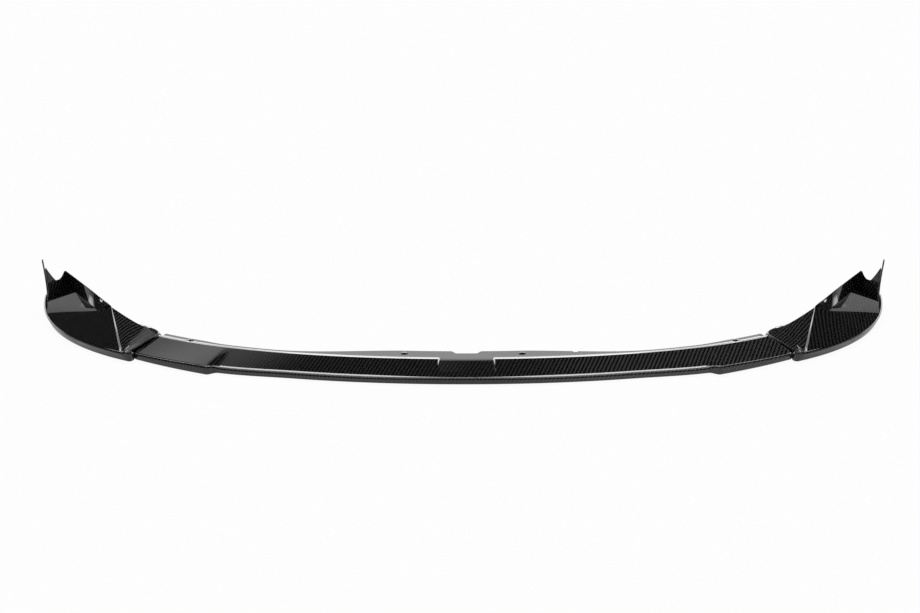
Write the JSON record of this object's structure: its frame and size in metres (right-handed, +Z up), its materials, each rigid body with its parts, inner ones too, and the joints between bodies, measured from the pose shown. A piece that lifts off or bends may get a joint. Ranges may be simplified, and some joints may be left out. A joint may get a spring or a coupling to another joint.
{
  "type": "front splitter lip",
  "caption": "Wide glossy carbon front lip: a long centre splitter with a stepped front edge and bolting flange, between faceted end blades that sweep back and rise to notched fins.",
  "frame": {"origin": "under the middle of the lip's bounding box, on the plane of its flat underside", "axes": "+X across the car to its left-hand end as the picture is seen from the front (the picture's right), -Y forward to the nose, +Z up"},
  "size_m": [1.8276, 0.4741, 0.1128],
  "materials": {
    "carbon_laminate": "2x2 twill carbon laminate under clear gloss lacquer",
    "zinc_steel": "bright zinc plating"
  },
  "bodies": {
    "root": {"centre_splitter": "carbon_laminate", "left_end_blade": "carbon_laminate", "right_end_blade": "carbon_laminate", "left_joint_plate": "carbon_laminate", "right_joint_plate": "carbon_laminate", "joint_screws": "zinc_steel", "joint_washers": "zinc_steel", "joint_nuts": "zinc_steel"}
  },
  "joints": []
}
